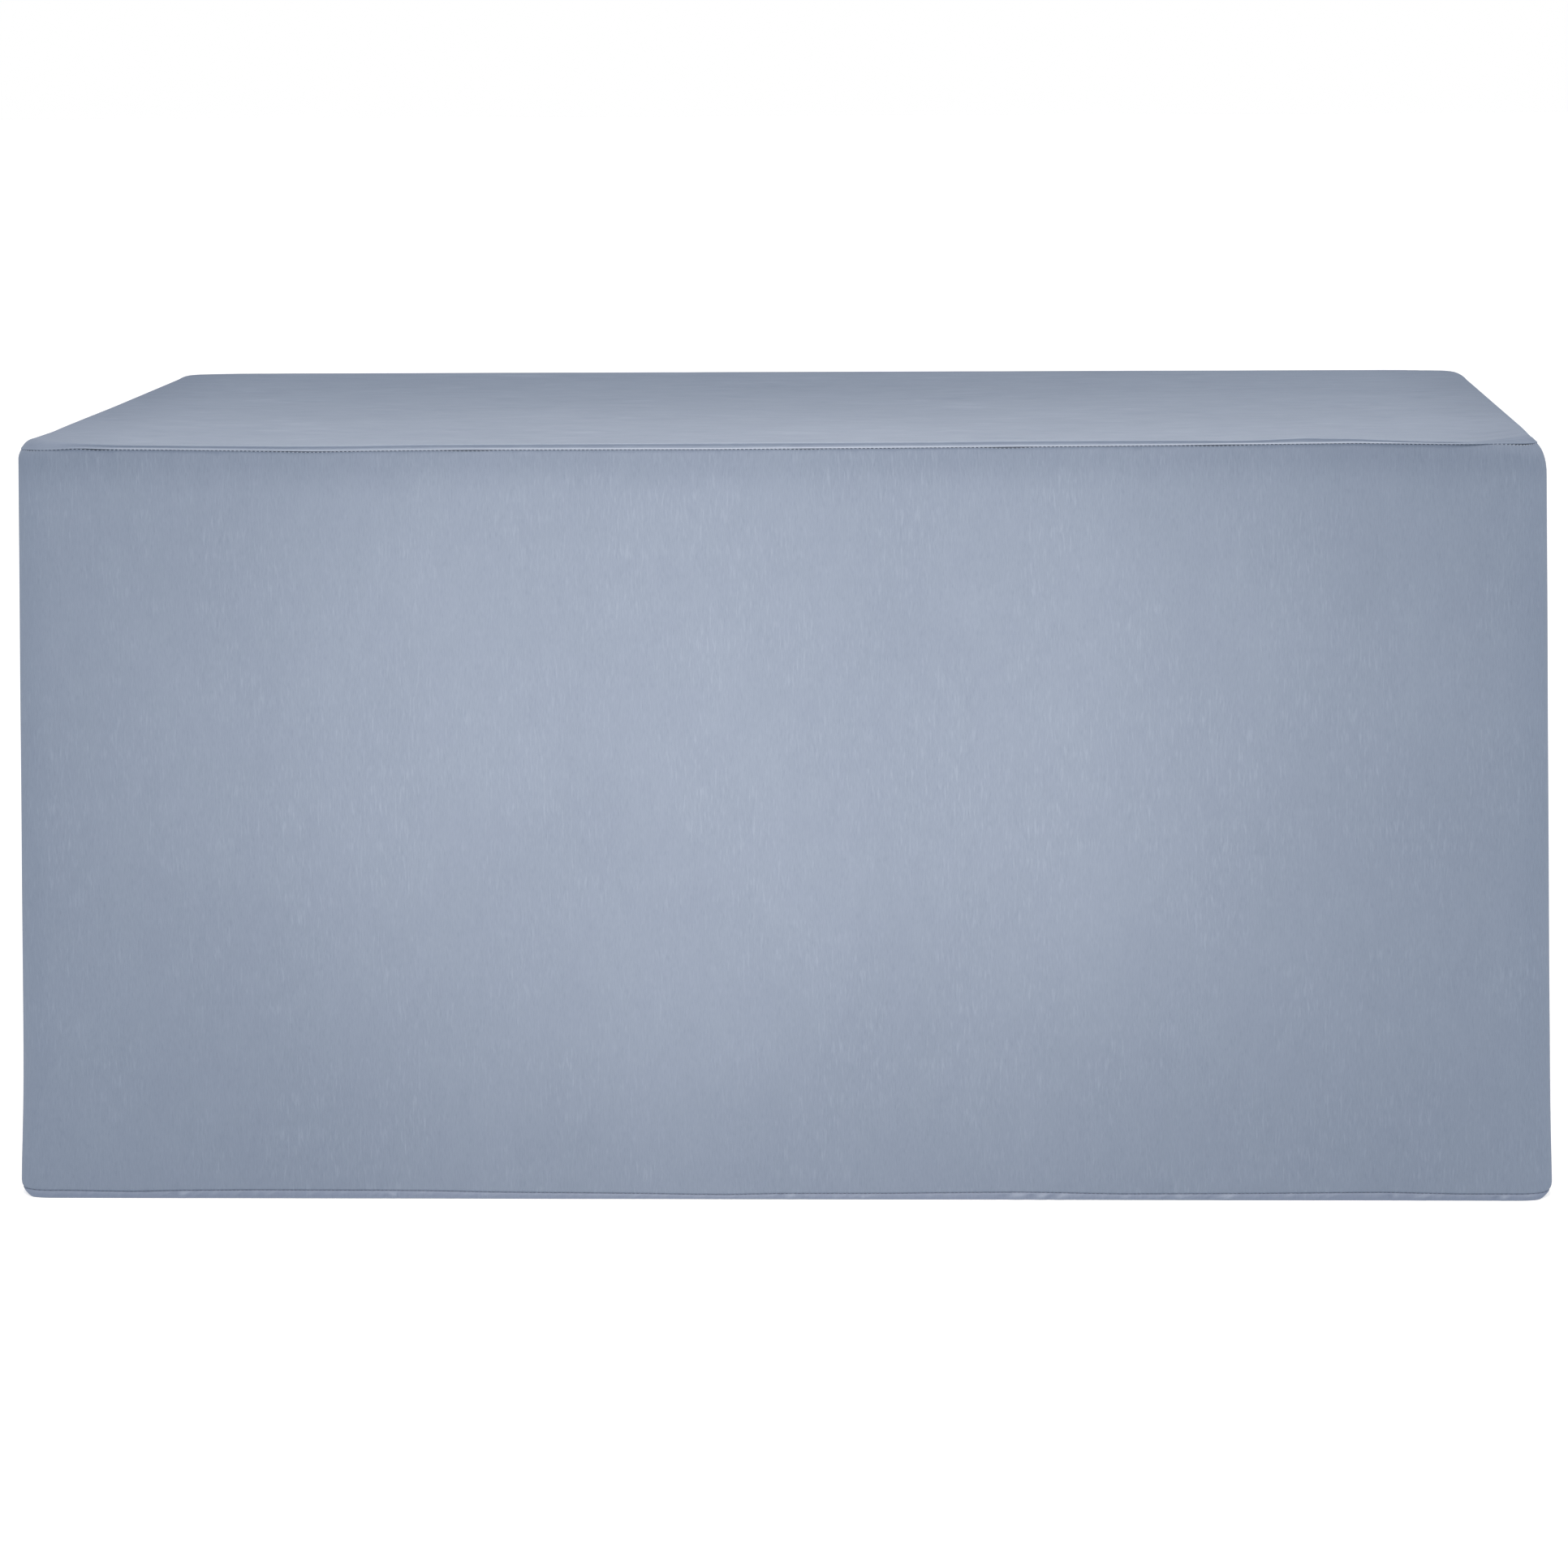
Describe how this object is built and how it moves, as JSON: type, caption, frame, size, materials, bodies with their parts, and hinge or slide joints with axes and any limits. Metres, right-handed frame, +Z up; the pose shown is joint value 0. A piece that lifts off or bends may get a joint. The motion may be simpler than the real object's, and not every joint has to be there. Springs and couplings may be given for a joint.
{
  "type": "patio furniture cover",
  "caption": "Fitted box-shaped cover for a patio loveseat, sewn from a flat top panel and side panels of woven cloth, with a stitched hem and an open bottom.",
  "frame": {"origin": "on the floor, under the middle of the cover", "axes": "+X to the right seen from the front, along the longest side; the front faces -Y; +Z up"},
  "size_m": [1.601, 1.051, 0.792],
  "materials": {
    "cover_cloth": "matt blue-grey woven cloth with fine slubs"
  },
  "bodies": {
    "root": {"top_panel": "cover_cloth", "front_panel": "cover_cloth", "back_panel": "cover_cloth", "right_panel": "cover_cloth", "left_panel": "cover_cloth"}
  },
  "joints": []
}
